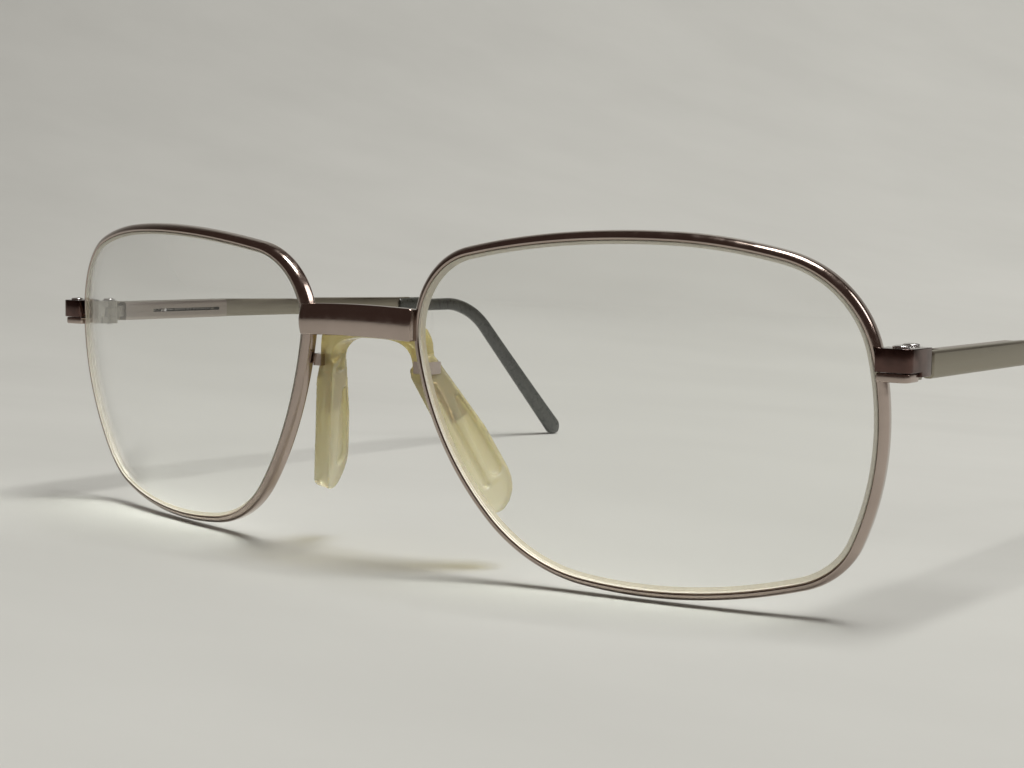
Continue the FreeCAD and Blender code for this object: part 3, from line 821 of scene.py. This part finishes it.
def make_bar(name, side, material):
    start, end = BAR_LOW[1], TIP_START + 3.0
    stations = np.concatenate([[start, start + 0.06, start + 0.2], np.linspace(start + 0.5, end, 120)])
    sections = []
    for y in stations:
        share = min(1.0, max(0.0, (y - HOUSING_HIGH[1]) / (TIP_START - HOUSING_HIGH[1])))
        tall = BAR_HEIGHT + (BAR_HEIGHT_BACK - BAR_HEIGHT) * share
        shrink = min(1.0, 0.8 + (y - start) * 1.0)
        section = rounded_box_section(BAR_THICK * shrink, tall * shrink, 0.35 * shrink)
        middle = BAR_MIDDLE + (TIP_MIDDLE - BAR_MIDDLE) * share
        sections.append(np.array([(temple_x(y) + x, y, middle + z) for x, z in section]))
    bar = add_object(f"temple_bar_{name}_strip", *loft(sections), side)
    finish_piece(bar, material, "temple_metal", f"temple_{name}", f"temple_bar_{name}")


def make_tip(name, side, material):
    """Plastic sleeve over the temple's end, widening to a rounded paddle."""
    length = tip_length()
    sections = []
    stations = [(0.0, 0.86), (0.12, 0.95), (0.35, 1.0)]
    stations += [(s, 1.0) for s in np.linspace(0.8, length - 0.01, 90)]
    for a in np.radians(np.linspace(0, 90, 12))[1:-1]:
        stations.append((length + TIP_END_HALF * math.sin(a), math.cos(a)))
    stations.append((length + TIP_END_HALF * 0.999, 0.05))
    for s, scale in stations:
        y, z, slope = temple_path(s)
        half = TIP_START_HALF + (TIP_END_HALF - TIP_START_HALF) * min(1.0, s / length) ** 2
        thick = TIP_THICK * (0.55 + 0.45 * scale)
        radius = min(0.85, half * scale * 0.95, thick / 2 * 0.95)
        section = []
        for x, up in rounded_box_section(thick, 2 * half * scale, radius, 7):
            section.append((x, y + up * math.sin(slope), z + up * math.cos(slope)))
        section = np.array(section)
        section[:, 0] += temple_x(y)
        sections.append(section)
    tip = add_object(f"temple_tip_{name}_sleeve", *loft(sections), side)
    smooth(tip, 60)
    finish_piece(tip, material, "tip_plastic", f"temple_{name}", f"temple_tip_{name}")


def make_spring(name, side, material):
    """Coil spring round the sled's rod."""
    wire = 0.075
    middle = (SPRING_LOW + SPRING_HIGH) / 2
    radius = (SPRING_HIGH[0] - SPRING_LOW[0]) / 2 - wire
    turns = 22
    around = 10
    path = []
    for t in np.linspace(0, 1, turns * 24 + 1):
        angle = 2 * math.pi * turns * t
        y = SPRING_LOW[1] + wire + (SPRING_HIGH[1] - SPRING_LOW[1] - 2 * wire) * t
        path.append((math.cos(angle), y, math.sin(angle)))
    sections = []
    for cos, y, sin in path:
        ring = []
        for a in np.linspace(0, 2 * math.pi, around, endpoint=False):
            out = radius + wire * math.cos(a)
            ring.append((middle[0] + out * cos, y + wire * math.sin(a), middle[2] + out * sin))
        sections.append(np.array(ring))
    spring = add_object(f"flex_spring_{name}_coil", *loft(sections), side)
    finish_piece(spring, material, "spring_steel", f"temple_{name}", f"flex_spring_{name}")
    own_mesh(spring)


# ---- stage ---------------------------------------------------------------------------------
def make_floor(material):
    """Flat paper that curves up into a backdrop behind the object."""
    flat_front, flat_back, radius, top = -4.0, 0.22, 0.9, 1.8
    profile = [(flat_front, 0.0), (flat_back, 0.0)]
    for angle in np.linspace(0, 90, 25)[1:]:
        bend = math.radians(angle)
        profile.append((flat_back + radius * math.sin(bend), radius * (1 - math.cos(bend))))
    profile.append((flat_back + radius, top))
    view = -Vector((VIEW_BACK[0], VIEW_BACK[1], 0)).normalized()
    across = Vector((view.y, -view.x, 0))
    points = []
    for along, height in profile:
        for reach in (-4.0, 4.0):
            points.append(tuple(view * along + across * reach + Vector((0, 0, height))))
    faces = [(2 * i, 2 * i + 1, 2 * i + 3, 2 * i + 2) for i in range(len(profile) - 1)]
    mesh = bpy.data.meshes.new("paper_sweep")
    mesh.from_pydata(points, [], faces)
    mesh.shade_smooth()
    floor = bpy.data.objects.new("paper_sweep", mesh)
    bpy.context.scene.collection.objects.link(floor)
    mesh.materials.append(material)


def add_light(name, where, target, size, power, colour=(1, 1, 1)):
    data = bpy.data.lights.new(name, "AREA")
    data.shape = "RECTANGLE"
    data.size, data.size_y = size
    data.energy = power
    data.color = colour
    lamp = bpy.data.objects.new(name, data)
    bpy.context.scene.collection.objects.link(lamp)
    lamp.location = where
    lamp.rotation_euler = (Vector(target) - Vector(where)).to_track_quat("-Z", "Y").to_euler()


def make_lights():
    add_light("ceiling", (0.35, 0.1, 1.4), (0, 0.05, 0), (0.6, 0.6), 17.0, (1.0, 0.99, 0.955))
    add_light("window", (1.1, 0.5, 0.8), (0, 0, 0.02), (0.3, 0.5), 2.6, (1.0, 0.96, 0.94))
    world = bpy.data.worlds.new("room")
    bpy.context.scene.world = world
    world.use_nodes = True
    world.node_tree.nodes["Background"].inputs["Color"].default_value = (0.060, 0.040, 0.034, 1)
    world.node_tree.nodes["Background"].inputs["Strength"].default_value = 1.0


# ---- assembly ------------------------------------------------------------------------------
def set_finish(node, material):
    """Gives a design node that shows as it is a better material."""
    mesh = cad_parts[node].data
    if not mesh.materials:
        mesh.materials.append(material)
    for i in range(len(mesh.materials)):
        mesh.materials[i] = material


def build():
    make_camera()
    plating = frame_metal()
    # endpiece plating with painted shade in its darkened base colour
    endpiece_shade_plating = painted_shade_plating()
    brushed = temple_metal("temple_metal", (0.28, 0.255, 0.20), (0.35, 0.32, 0.255))
    housing = temple_metal("housing_metal", (0.38, 0.33, 0.29), (0.46, 0.41, 0.37))
    nickel = hinge_metal()
    steel = bright_steel("screw_steel", 0.80)
    wire = bright_steel("spring_steel", 0.60)
    glass = [lens_glass(), lens_bevel()]
    sleeve = tip_plastic()
    make_bridge(plating)
    make_saddle(saddle_plastic())
    for name, side in SIDES.items():
        make_rim(name, side, plating)
        make_lens(name, side, glass)
        make_endpiece(name, side, endpiece_shade_plating)
        make_lock(name, side, plating)
        make_screw(name, "rim_lock_screw", side, steel, 0.95, 0.4, 0.55)
        make_screw(name, "hinge_screw", side, steel, 0.95, 0.4, 0.6)
        make_bar(name, side, brushed)
        make_tip(name, side, sleeve)
        make_spring(name, side, wire)
        for node in ("hinge_leaf", "spring_sled"):
            set_finish(f"{node}_{name}", nickel)
        set_finish(f"saddle_bracket_{name}", plating)
        set_finish(f"spring_housing_{name}", housing)
        set_finish(f"spring_stop_{name}", steel)
    make_floor(paper())
    make_lights()
    bpy.context.scene.view_settings.view_transform = "Standard"


build()
